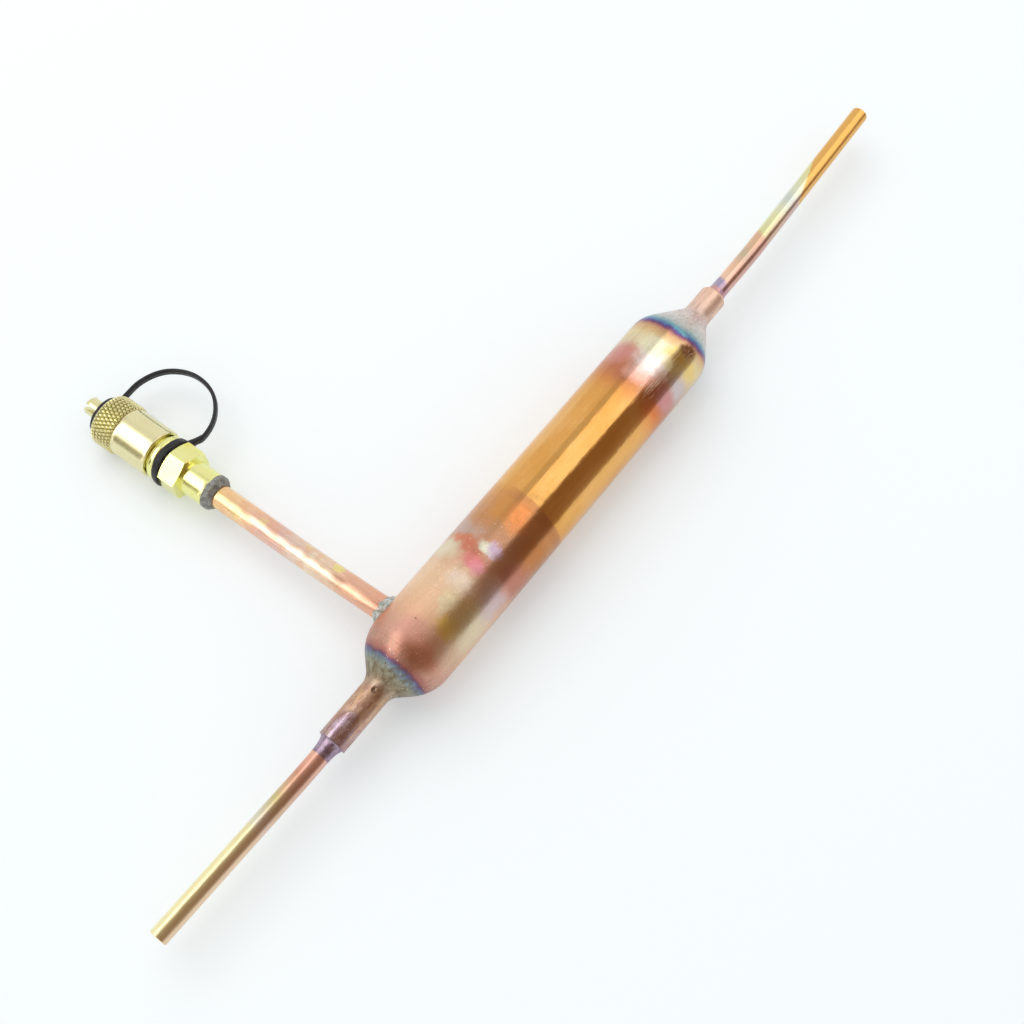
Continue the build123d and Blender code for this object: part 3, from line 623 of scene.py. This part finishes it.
shell_mat = shell_copper()
brass_mat = turned_brass("machined_brass_body", (236, 233, 148), (244, 243, 174), 0.17, hot=[
    ((0.6, -5.6, 75.0), 1.5, (250, 226, 120)), ((5.0, -3.4, 79.0), 2.0, (240, 232, 120)),
])
gold_mat = turned_brass("machined_brass_cap", (226, 216, 162), (238, 230, 188), 0.21, knurled=True)
core_mat = turned_brass("core_brass", (214, 190, 110), (226, 204, 130), 0.22)
strap_mat = moulded_nylon()
steel_mat = plain("pressed_steel", (150, 150, 146), (184, 182, 178), 0.32, 1.0)
rubber_mat = plain("black_neoprene", (34, 33, 34), (48, 47, 48), 0.55, 0.0)
give(shell_mat, "shell")
give(inlet_copper(), "inlet_tube")
give(outlet_copper(), "outlet_tube")
give(branch_copper(), "access_tube")
give(braze_metal("brazing_alloy_inlet", (178, 156, 176), (142, 122, 140)), "inlet_braze")
give(braze_metal("brazing_alloy_outlet", (214, 160, 150), (180, 150, 176)), "outlet_braze")
saddle_mat = braze_metal("brazing_alloy_saddle", (214, 210, 206), (150, 156, 142), 0.26)
give(solder_metal(), "valve_solder_ring")
give(core_mat, "core_head", "core_sleeve", "core_pin")
give(plain("white_fluoropolymer", (222, 222, 214), (236, 236, 230), 0.4, 0.0), "core_gasket")
give(rubber_mat, "core_seat_seal", "cap_gasket")
spring_mat = plain("spring_wire", (150, 150, 148), (190, 188, 184), 0.28, 1.0)
give(steel_mat, "inlet_screen_plate", "outlet_screen_plate")
give(steel_mat, "inlet_screen_retainer", "outlet_screen_retainer")
give(woven_steel(), "inlet_screen_mesh", "outlet_screen_mesh")
give(desiccant_beads(), "desiccant_bed")


# ------------------------------------------------------------ mesh helpers
def new_object(name, data):
    obj = bpy.data.objects.new(name, data)
    bpy.context.scene.collection.objects.link(obj)
    return obj


def new_mesh(name, verts, faces, material):
    mesh = bpy.data.meshes.new(name)
    mesh.from_pydata(verts, [], faces)
    mesh.update()
    mesh.materials.append(material)
    return new_object(name, mesh)


def make_object(name, verts, faces, material, matrix, sharp):
    """Mesh in millimetres, in its own frame, placed in the part's frame in metres."""
    place = Matrix.Scale(MM, 4) @ matrix
    obj = new_mesh(name, [place @ Vector(v) for v in verts], faces, material)
    tidy(obj, sharp)
    return obj


def tidy(obj, sharp):
    """Welds seams, turns the faces outwards and marks the sharp edges."""
    bm = bmesh.new()
    bm.from_mesh(obj.data)
    bmesh.ops.remove_doubles(bm, verts=bm.verts, dist=1e-7)
    bmesh.ops.recalc_face_normals(bm, faces=bm.faces)
    bm.to_mesh(obj.data)
    bm.free()
    obj.data.shade_smooth()
    obj.data.set_sharp_from_angle(angle=radians(sharp))


def ring_faces(size, count, closed=False):
    """Quads between rings of points; closed joins the last to the first, else the ends get faces."""
    faces = []
    for i in range(count if closed else count - 1):
        j = (i + 1) % count
        for k in range(size):
            n = (k + 1) % size
            faces.append((i * size + k, i * size + n, j * size + n, j * size + k))
    if not closed:
        faces += [tuple(reversed(range(size))), tuple(range((count - 1) * size, count * size))]
    return faces


def lathe(rows, columns, closed=False):
    """Rings round Z. A row is z and either a radius or a function of the angle and z."""
    verts = []
    for z, r in rows:
        for k in range(columns):
            a = tau * k / columns
            rr, zz = r(a, z) if callable(r) else (r, z)
            verts.append((rr * cos(a), rr * sin(a), zz))
    return verts, ring_faces(columns, len(rows), closed)


def arc_rows(z, r, radius, from_deg, to_deg, count=6):
    """Rows along a quarter round whose centre is (z, r), angles from +Z towards outwards."""
    out = []
    for i in range(count + 1):
        a = radians(from_deg + (to_deg - from_deg) * i / count)
        out.append((z + radius * cos(a), r + radius * sin(a)))
    return out


def uneven_at(a, reach, height, shift_x=0.0, shift_y=0.0):
    """Smooth unevenness round an axis; a greater reach gives more lumps to the turn."""
    return mnoise.noise(Vector((cos(a) * reach + shift_x, sin(a) * reach + shift_y, height)))


def apply_modifiers(obj):
    """Turns the modified shape into the object's own mesh."""
    depsgraph = bpy.context.evaluated_depsgraph_get()
    mesh = bpy.data.meshes.new_from_object(obj.evaluated_get(depsgraph))
    obj.modifiers.clear()
    obj.data = mesh


# ------------------------------------------------------------ cap with a diamond knurl
def knurl_sink(a, z):
    """Depth below the grip's radius: crossed helical grooves with flattened pyramids between them."""
    turn, rise = a / tau * knurl_count, (z - grip_start) / knurl_rise
    near = [abs(q - round(q)) * 2 for q in (turn + rise, turn - rise)]
    return knurl_depth * (1 - min(1.0, min(near) * 1.9))


def clip(value):
    """value, held between 0 and 1."""
    return min(1.0, max(0.0, value))


def build_cap():
    """Cap from its rim over the grip to the tool's root, then back down its bore."""
    rows = [(cap_rim, cap_bore_r + 0.3), (cap_rim, cap_r - cap_round)]
    rows += arc_rows(cap_rim + cap_round, cap_r - cap_round, cap_round, 180, 90, 5)[1:]
    for i in range(1, 12):
        rows.append((cap_rim + cap_round + i * ((grip_start - cap_rim - 0.5) / 12), cap_r))
    rows += [(grip_start - 0.12, cap_r), (grip_start, cap_r + 0.04), (grip_start, cap_r + 0.2)]

    def grip(a, z):
        """Knurled radius with a chamfer below and a round above; the knurl fades before the end."""
        env, rise = grip_r, z - grip_start
        if rise < grip_step:
            env = grip_r - grip_step + rise
        elif z > cap_end - grip_round:
            q = (z - (cap_end - grip_round)) / grip_round
            env = grip_r - grip_round * (1 - sqrt(max(0.0, 1 - q * q)))
        return env - knurl_sink(a, z) * clip((cap_end - 0.12 - z) / 0.5), z

    count = int((cap_end - grip_start) / 0.1)
    for i in range(count + 1):
        # The rows crowd together over the round.
        q = i / count
        q = q if q < 0.8 else 0.8 + 0.2 * sin((q - 0.8) / 0.2 * pi / 2)
        rows.append((grip_start + (cap_end - grip_start) * q, grip))
    rows += [(cap_end, r) for r in (5.2, 4.6, 4.0, 3.0, 2.3)]
    rows += [(cap_end - 0.4, 2.0), (cap_end - 0.4, axis_r), (cap_bore_end, axis_r)]
    rows += [(cap_bore_end, 2.0), (cap_bore_end, cap_bore_r), (cap_bore_end - 1.2, cap_bore_r)]
    bore_run = cap_bore_end - 1.2 - cap_rim - 0.4
    rows += [(cap_bore_end - 1.2 - i * bore_run / 9, cap_bore_r) for i in range(1, 10)]
    grid = lathe(rows, knurl_count * 12, closed=True)
    body = make_object("cap_knurled", *grid, gold_mat, valve_frame, 40)
    # Slotted core tool on the end
    rows = [(cap_end - 0.6, tool_r), (cap_end, tool_r), (cap_end + 0.05, tool_r)]
    rows += [(cap_end + 0.05 + i * 0.85, tool_r) for i in range(1, 7)]
    rows += [(tool_end - 0.4, tool_r), (tool_end - 0.2, tool_r - 0.14), (tool_end, tool_r - 0.4)]
    tool = make_object("tool_blank", *lathe(rows, 96), gold_mat, valve_frame, 40)
    turn = Matrix.Rotation(radians(tool_slot_turn), 4, "Z")
    half = (tool_slot / 2, 3.2, tool_slot_depth / 2 + 0.2)
    verts = [
        (sx * half[0], sy * half[1], tool_end - tool_slot_depth + (sz + 1) * half[2])
        for sx in (-1, 1) for sy in (-1, 1) for sz in (-1, 1)
    ]
    faces = [(0, 1, 3, 2), (4, 6, 7, 5), (0, 4, 5, 1), (2, 3, 7, 6), (0, 2, 6, 4), (1, 5, 7, 3)]
    cutter = make_object("tool_slot", verts, faces, gold_mat, valve_frame @ turn, 40)
    cut = tool.modifiers.new("slot", "BOOLEAN")
    cut.operation, cut.object, cut.solver = "DIFFERENCE", cutter, "EXACT"
    bevel = tool.modifiers.new("soft", "BEVEL")
    bevel.width, bevel.segments, bevel.limit_method, bevel.angle_limit = 0.06 * MM, 2, "ANGLE", radians(35)
    apply_modifiers(tool)
    bpy.data.objects.remove(cutter)
    merge(body, tool)
    finish(body, "cap", "cap", 40)


def merge(into, other):
    """Adds another object's mesh to this one and removes the other."""
    bm = bmesh.new()
    bm.from_mesh(into.data)
    bm.from_mesh(other.data)
    bm.to_mesh(into.data)
    bm.free()
    bpy.data.objects.remove(other)


def finish(obj, body, replaced, sharp):
    """Rides a piece on its body, in place of the CAD node that it stands for."""
    obj.data.shade_smooth()
    obj.data.set_sharp_from_angle(angle=radians(sharp))
    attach(obj, body)
    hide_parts(replaced)


# ------------------------------------------------------------ valve body with its hexagon and port thread
def build_valve():
    """Everything outside and the bores, as one ring of rows round the valve's axis."""
    flat, corner = hex_flat, hex_flat / cos(pi / 6)

    def hexagon(a, z):
        """Hexagon whose corners are turned down at both ends."""
        r = flat / cos(a - round(a / (pi / 3)) * pi / 3)
        top, low = hex_end - z, z - hex_start
        crown = (flat - 0.1) + (corner - flat + 0.1) * clip(top / 0.5)
        heel = (flat + 0.25) + (corner - flat) * clip(low / 0.28)
        return min(r, crown, heel), z

    def thread(a, z):
        """Port thread that runs out beside the flange and is chamfered at the mouth."""
        t = (z - flange_end) / thread_pitch - a / tau
        t -= int(t // 1)
        h = clip((abs(t - 0.5) * 2 - 0.12) / 0.76)
        start = clip((z - flange_end - 0.9) / 0.5)
        end = clip((port_end - 0.05 - z) / 0.65)
        r = port_r - (port_r - thread_root_r) * (1 - h) * start
        return min(r, thread_root_r + (port_r - thread_root_r) * end), z

    rows = [
        (valve_reach, socket_r), (valve_reach, skirt_r - 0.15), (valve_reach + 0.08, skirt_r - 0.03),
        (valve_reach + 0.2, skirt_r),
    ]
    rows += [(valve_reach + 0.2 + i, skirt_r) for i in range(1, 7)]
    rows += [(hex_start - 0.02, skirt_r), (hex_start, skirt_r + 0.1)]
    heights = (0.0, 0.1, 0.2, 0.3, 1.2, 2.2, 3.2, 4.2, 5.1, 5.2, 5.3, 5.4, 5.5, 5.6, 5.65, 5.7)
    rows += [(hex_start + t, hexagon) for t in heights]
    rows += [
        (hex_end, groove_r + 0.2), (hex_end + 0.15, groove_r), (flange_start - 0.15, groove_r),
        (flange_start, groove_r + 0.15),
    ]
    rows += arc_rows(flange_start + flange_round, flange_r, flange_round, 180, 90, 6)
    rows += arc_rows(flange_end - flange_round, flange_r, flange_round, 90, 0, 6)
    count = 90
    rows += [(flange_end + i * (port_end - flange_end) / count, thread) for i in range(count + 1)]
    rows += [
        (port_end, port_bore_r + 0.5), (port_end - 0.5, port_bore_r), (port_end - 6.5, port_bore_r),
        (port_end - 8.0, seat_bore_r), (valve_reach + socket_depth, seat_bore_r),
        (valve_reach + socket_depth, socket_r),
    ]
    grid = lathe(rows, 240, closed=True)
    body = make_object("valve_body_machined", *grid, brass_mat, valve_frame, 34)
    finish(body, "drier", "valve_body", 34)


# ------------------------------------------------------------ moulded strap
def route_points(points, radii, step=0.5):
    """Points along runs and tangent arcs in one plane."""
    out = [Vector(points[0])]
    for i in range(1, len(points) - 1):
        a, b, c = Vector(points[i - 1]), Vector(points[i]), Vector(points[i + 1])
        u, v = (a - b).normalized(), (c - b).normalized()
        half = u.angle(v) / 2
        reach = radii[i - 1] / (sin(half) / cos(half))
        start, end = b + u * reach, b + v * reach
        centre = b + (u + v).normalized() * (radii[i - 1] / sin(half))
        swing = (start - centre).angle(end - centre)
        axis = (start - centre).cross(end - centre).normalized()
        count = max(6, int(radii[i - 1] * swing / step))
        for k in range(count + 1):
            out.append(centre + Matrix.Rotation(swing * k / count, 3, axis) @ (start - centre))
    out.append(Vector(points[-1]))
    return out


def band_mesh(path, width, thick, end_thick, wave=0.0):
    """Rounded strip along a path in the XZ plane; width lies across the plane."""
    rr = 0.32

    def section_at(t):
        out = []
        for cx, cy, a0 in ((1, 1, 0), (-1, 1, 90), (-1, -1, 180), (1, -1, 270)):
            for k in range(4):
                a = radians(a0 + 30 * k)
                out.append((cx * (t / 2 - rr) + rr * cos(a), cy * (width / 2 - rr) + rr * sin(a)))
        return out

    verts = []
    for i, p in enumerate(path):
        share = i / (len(path) - 1)
        section = section_at(thick + (end_thick - thick) * share * (2 - share))
        t = (path[min(i + 1, len(path) - 1)] - path[max(i - 1, 0)]).normalized()
        out = Vector((0, 1, 0)).cross(t).normalized()
        shift = wave * mnoise.noise(Vector((i * 0.08, 3.1, 0.4)))
        for sx, sy in section:
            verts.append(p + out * (sx + shift) + Vector((0, sy + shift * 0.6, 0)))
    return verts, ring_faces(len(section), len(path))


def ring_mesh(z0, z1, inner, outer, wobble):
    """Ring with rounded corners and a slightly uneven outside, as thin mouldings have."""
    def uneven(r, z, side):
        def at(a, _z):
            swell, lift = uneven_at(a, 1.9, z * 0.2, side), uneven_at(a, 2.3, 7.0, 0.0, side)
            return r + wobble * swell * (1 if side > 0 else 0.2), z + wobble * 0.8 * lift
        return at

    rr = 0.3
    profile = []
    for cz, cr, turn, side in (
        (z0 + rr, inner + rr, 270, -1), (z0 + rr, outer - rr, 180, 1),
        (z1 - rr, outer - rr, 90, 1), (z1 - rr, inner + rr, 0, -1),
    ):
        for k in range(5):
            a = radians(turn - 90 * k / 4)
            profile.append((cz + rr * cos(a), cr + rr * sin(a), side))
    rows = [(z, uneven(r, z, side)) for z, r, side in profile]
    return lathe(rows, 120, closed=True)


def build_strap():
    """Ring, band with its loop, tab and eye, run together as one moulding."""
    ring_mid, eye_mid = sum(strap_ring[:2]) / 2, sum(strap_eye[:2]) / 2
    low = ring_mid - 1.9
    loop_r = 0.999 * (eye_mid - low) / 2
    route = [(4.5, 0, eye_mid), (22.5, 0, eye_mid), (22.5, 0, low), (9.3, 0, low), (5.8, 0, ring_mid)]
    path = route_points(route, [loop_r, loop_r, 2.5])
    band = band_mesh(path, strap_width, strap_thick, strap_thick, 0.10)
    strap = make_object("strap_moulded", *band, strap_mat, valve_frame, 60)
    ring = make_object("strap_ring", *ring_mesh(*strap_ring, 0.28), strap_mat, valve_frame, 60)
    eye = make_object("strap_eye", *ring_mesh(*strap_eye, 0.05), strap_mat, valve_frame, 60)
    tab_path = [Vector((5.9 + 0.4 * i, 0, 80.75 - 0.155 * i)) for i in range(11)]
    band = band_mesh(tab_path, strap_width, 2.3, 1.05)
    tab = make_object("strap_tab", *band, strap_mat, valve_frame, 60)
    for extra in (ring, eye, tab):
        merge(strap, extra)
    remesh = strap.modifiers.new("one_moulding", "REMESH")
    remesh.mode, remesh.voxel_size = "VOXEL", 0.17 * MM
    soft = strap.modifiers.new("soft", "SMOOTH")
    soft.factor, soft.iterations = 0.5, 4
    apply_modifiers(strap)
    strap.data.shade_smooth()
    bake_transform(strap)
    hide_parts("cap_strap")


def build_saddle():
    """Lumpy brazing metal that has run round the process tube's root and down the barrel."""
    columns, rows = 96, 14
    verts, faces = [], []
    origin, along = tube_frame @ Vector((0, 0, 0)), tube_frame.to_3x3() @ Vector((0, 0, 1))

    def skin(a, d):
        """Height along the tube where the barrel's surface lies at angle a and distance d."""
        out = origin + tube_frame.to_3x3() @ Vector((cos(a), sin(a), 0)) * d
        b = along.y * out.y + along.z * out.z
        c = out.y ** 2 + out.z ** 2 - shell_r ** 2
        q = along.y ** 2 + along.z ** 2
        return (-b + sqrt(b * b - q * c)) / q

    for i in range(columns):
        a = tau * i / columns
        wide, high = 1.7 + 0.7 * uneven_at(a, 1.3, 2.0), 1.9 + 1.1 * uneven_at(a, 1.6, 5.0)
        ring = []
        for k in range(rows + 1):
            t = pi / 2 * k / rows
            d = branch_r + 0.03 + wide * (1 - sin(t))
            rise = high * (1 - cos(t))
            swell = 0.22 * sin(2 * t) * (1 + uneven_at(a, 4, k * 0.5))
            ring.append((d + swell, skin(a, d) + rise + swell))
        # Back under the lump, just inside the tube and the barrel
        ring.append((branch_r - 0.05, skin(a, branch_r) + high - 0.02))
        ring.append((branch_r - 0.05, skin(a, branch_r) - 0.10))
        ring.append((branch_r + wide, skin(a, branch_r + wide) - 0.12))
        verts += [(r * cos(a), r * sin(a), z) for r, z in ring]
    size = rows + 4
    for i in range(columns):
        j = (i + 1) % columns
        for k in range(size):
            n = (k + 1) % size
            faces.append((i * size + k, j * size + k, j * size + n, i * size + n))
    saddle = make_object("saddle_braze_lumpy", verts, faces, saddle_mat, tube_frame, 50)
    finish(saddle, "drier", "access_tube_braze", 50)


def build_spring():
    """Coil spring under the pin's collar, with closed, ground ends."""
    low, high, wire_r = spring_low, spring_high, spring_wire_r
    turns, closed, closed_pitch, steps, sides = 6.0, 0.8, 0.30, 28, 12
    height = high - low - wire_r
    pitch = (height - 2 * closed * closed_pitch) / (turns - 2 * closed)
    verts = []
    count = int(turns * steps)
    for i in range(count + 1):
        t = turns * i / count
        rise = min(t, closed) * closed_pitch + min(max(t - closed, 0), turns - 2 * closed) * pitch
        rise += max(t - turns + closed, 0) * closed_pitch
        for k in range(sides):
            b = tau * k / sides
            r = spring_coil_r + wire_r * cos(b)
            z = min(max(low + wire_r / 2 + rise + wire_r * sin(b), low), high)
            verts.append((r * cos(tau * t), r * sin(tau * t), z))
    grid = verts, ring_faces(sides, count + 1)
    spring = make_object("core_spring_coiled", *grid, spring_mat, valve_frame, 40)
    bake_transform(spring)
    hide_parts("core_spring")


build_cap()
build_valve()
build_spring()
build_strap()
build_saddle()

# ------------------------------------------------------------ floor, lights, camera, metres
floor_glow = 0.236
room_light, room_seen, key_light = 0.64, 0.97, 0.27
white_wall = 0.95
floor_half, ceiling_half, ceiling_z = 6.0, 3.2, 1.0
wall_r, wall_top = 3.1, 1.05
shape_half, shape_z = 1.5, 0.40
key_reach, key_size = 1.3, 1.2
focal_px, frame_px, sensor_mm = 1400, 1024, 36.0


def seen_in_mirrors(m):
    """1 for camera, glossy and transmission rays."""
    path = m.new("LightPath").outputs
    return m.most(path["Is Camera Ray"], m.most(path["Is Glossy Ray"], path["Is Transmission Ray"]))


def floor_material():
    """Pale floor; its glow lifts what the camera and polished metal see, and lights nothing."""
    m = Mat("pale_floor", metallic=0.0)
    shade = m.noise(m.vec("SCALE", m.coord, scale=3.0), 1.0, 2.0)
    m.colour = m.mix(shade, (0.88, 0.906, 0.91), (0.885, 0.911, 0.92))
    m.done(0.9)
    m.bsdf.inputs["Specular IOR Level"].default_value = 0.0
    strength = m.times(seen_in_mirrors(m), floor_glow)
    glow = m.new("Emission", Color=(0.965, 0.995, 1.0), Strength=strength)
    add = m.new("AddShader")
    m.put(add.inputs[0], m.bsdf.outputs[0])
    m.put(add.inputs[1], glow.outputs[0])
    m.put(m.out.inputs[0], add.outputs[0])
    return m.mat


def stage_mesh(name, verts, faces, material, only_in_mirrors):
    """Mesh in metres that isn't part of the drier."""
    obj = new_mesh(name, verts, faces, material)
    if only_in_mirrors:
        obj.visible_camera = obj.visible_diffuse = obj.visible_shadow = False


def sheet(name, half, z, cells, material, only_in_mirrors=False):
    """Level square sheet, half as wide as half says to each side, at height z."""
    step = 2 * half / cells
    verts = [(-half + i * step, -half + j * step, z) for j in range(cells + 1) for i in range(cells + 1)]
    row = cells + 1
    faces = [
        (j * row + i, j * row + i + 1, (j + 1) * row + i + 1, (j + 1) * row + i)
        for j in range(cells) for i in range(cells)
    ]
    stage_mesh(name, verts, faces, material, only_in_mirrors)


sheet("floor", floor_half, floor_z * MM, 8, floor_material())


def mirror_material(name):
    """Glowing sheet that polished metal mirrors and nothing else sees; done by the caller."""
    m = Mat(name, metallic=0.0)
    m.mat.cycles.emission_sampling = "NONE"
    m.glow = m.new("Emission")
    m.put(m.out.inputs[0], m.glow.outputs[0])
    m.metre = m.sep(m.coord)
    return m


def boxed(m, x, y, x0, x1, y0, y1, soft):
    return m.times(m.band(x, x0, x1, soft), m.band(y, y0, y1, soft))


def ceiling_material():
    """White ceiling with two softboxes: one towards the outlet, one beyond the process tube."""
    m = mirror_material("ceiling_with_softboxes")
    x, y = m.metre[0], m.metre[1]
    level = m.plus(white_wall - 0.03, m.times(m.step(m.vec("LENGTH", m.coord), 1.1, 2.6), 0.03))
    level = m.plus(level, m.times(boxed(m, x, y, 0.32, 1.7, -1.6, 0.33, 0.02), 0.52))
    far_box = boxed(m, x, y, -1.9, -0.26, 0.38, 0.98, 0.05)
    far_box = m.most(far_box, boxed(m, x, y, -0.5, 0.03, 0.56, 0.98, 0.05))
    level = m.plus(level, m.times(far_box, 2.0))
    # Warm dim stretch low towards the inlet, and a duller patch between the two softboxes
    out = m.vec("LENGTH", m.join(x, y, 0.0))
    turn = m.math("ARCTAN2", y, x)
    low_dim = m.times(m.band(turn, radians(143), radians(155.5), 0.02), m.step(out, 1.9, 2.3))
    level = m.times(level, m.minus(1.0, m.times(low_dim, 0.72)))
    gap = boxed(m, x, y, 0.30, 0.62, 0.34, 0.72, 0.04)
    level = m.minus(level, m.times(gap, 0.2))
    m.put(m.glow.inputs["Strength"], level)
    white = m.mix(m.noise(m.coord, 1.5, 2.0), (1.0, 0.985, 0.97), (1.0, 1.0, 0.99))
    m.put(m.glow.inputs["Color"], m.mix(low_dim, white, (0.98, 0.88, 0.58)))
    return m.mat


def dim_shape_material():
    """Dim warm shape over the near side of the table, clear outside its outline."""
    m = mirror_material("dim_shape_over_table")
    x, y = m.metre[0], m.metre[1]
    edge = m.curve(x, -1.4, 1.8, [
        (-1.4, 0.2), (-0.6, 0.9), (-0.35, 1.04), (-0.2, 1.16), (-0.08, 1.17), (0.0, 1.08), (0.04, 0.92),
        (0.10, 0.81), (0.17, 0.79), (0.27, 0.75), (0.45, 0.64), (0.60, 0.48), (0.90, 0.20), (1.8, 0.0),
    ], 2.0)
    inside = m.minus(m.minus(edge, 1.0), y)
    soft = m.step(x, -0.02, 0.10, 0.022, 0.13)
    share = m.times(m.step(m.over(inside, soft), -1.0, 1.0), m.step(y, -1.5, -1.3), m.step(x, -1.3, -0.7))
    colour = m.mix(m.step(y, -1.4, -0.4), (0.32, 0.23, 0.17), (0.27, 0.185, 0.125))
    folds = m.step(m.noise(m.coord, 5.0, 2.0), 0.3, 0.7, 0.3)
    m.put(m.glow.inputs["Color"], m.mix(folds, colour, (0.36, 0.25, 0.18)))
    both = m.new("MixShader")
    m.put(both.inputs[0], share)
    m.put(both.inputs[1], m.new("BsdfTransparent").outputs[0])
    m.put(both.inputs[2], m.glow.outputs[0])
    m.put(m.out.inputs[0], both.outputs[0])
    return m.mat


def wall_material():
    """Pale wall with a dim stretch on the near side and two with a bright gap beyond the inlet."""
    m = mirror_material("pale_wall_round_table")
    x, y, z = m.metre[0:3]
    turn = m.math("ARCTAN2", y, x)
    near = m.band(turn, radians(-108), radians(-44), 0.05)
    far = m.band(turn, radians(143), radians(155.5), 0.012)
    far = m.most(far, m.band(turn, radians(162), radians(167), 0.012))
    window = m.band(turn, radians(156.5), radians(161.2), 0.012)
    dim = m.mix(m.step(z, 0.25, 0.6), (0.43, 0.36, 0.31), (0.32, 0.23, 0.17))
    m.colour = m.mix(near, (white_wall, white_wall, white_wall * 0.99), dim)
    m.colour = m.mix(far, m.colour, (0.25, 0.225, 0.14))
    m.darken(m.noise(m.coord, 1.0, 2.0), (0.94, 0.94, 0.94))
    m.put(m.glow.inputs["Color"], m.colour)
    m.put(m.glow.inputs["Strength"], m.plus(1.0, m.times(window, 1.6)))
    return m.mat


def ring_wall(name, radius, top, count, material):
    """Upright round wall from the floor to top, seen only in mirrors."""
    verts, faces = [], []
    for i in range(count):
        a = tau * i / count
        for z in (floor_z * MM, top):
            verts.append((radius * cos(a), radius * sin(a), z))
    for i in range(count):
        j = (i + 1) % count
        faces.append((2 * i, 2 * j, 2 * j + 1, 2 * i + 1))
    stage_mesh(name, verts, faces, material, True)


sheet("studio_ceiling", ceiling_half, ceiling_z, 12, ceiling_material(), True)
sheet("dim_shape", shape_half, shape_z, 12, dim_shape_material(), True)
ring_wall("studio_wall", wall_r, wall_top, 72, wall_material())

# Broad lamp high towards the outlet and the valve; it lights the floor and leaves the soft shadow.
key_way = Vector((0.13, 0.483, 0.866))
key_from = key_way * key_reach
key = bpy.data.lights.new("key_lamp", "AREA")
key.shape, key.size, key.size_y = "RECTANGLE", key_size, key_size
key.energy = key_light * pi * pi * key_reach * key_reach / key_way.z
lamp = new_object("key_lamp", key)
lamp.matrix_world = Matrix.Translation(key_from) @ key_from.to_track_quat("Z", "Y").to_matrix().to_4x4()
lamp.visible_camera = lamp.visible_glossy = False

world = bpy.data.worlds.new("studio")
bpy.context.scene.world = world
world.use_nodes = True
sky = Nodes(world.node_tree)
level = sky.new("Mix")
for i, value in enumerate((seen_in_mirrors(sky), None, room_light, room_seen)):
    sky.put(level.inputs[i], value)
back = sky.tree.nodes["Background"]
sky.put(back.inputs["Color"], (0.96, 0.985, 1.0))
sky.put(back.inputs["Strength"], level.outputs[0])

camera_data = bpy.data.cameras.new("camera")
camera_data.sensor_width = sensor_mm
camera_data.lens = sensor_mm * focal_px / frame_px
camera_data.clip_start = 0.01
camera = new_object("camera", camera_data)
# The photo's viewpoint, as fitted to the edges of the barrel and the tubes
eye = Vector((-0.11537, -0.08128, 0.32098))
look = (Vector((-0.00489, 0.00627, -0.0111)) - eye).normalized()
up = Vector((0.72146, 0.57168, 0.39073))
up = (up - look * up.dot(look)).normalized()
right = look.cross(up)
camera.matrix_world = Matrix.Translation(eye) @ Matrix((right, up, -look)).transposed().to_4x4()
bpy.context.scene.camera = camera
bpy.context.scene.view_settings.view_transform = "Standard"
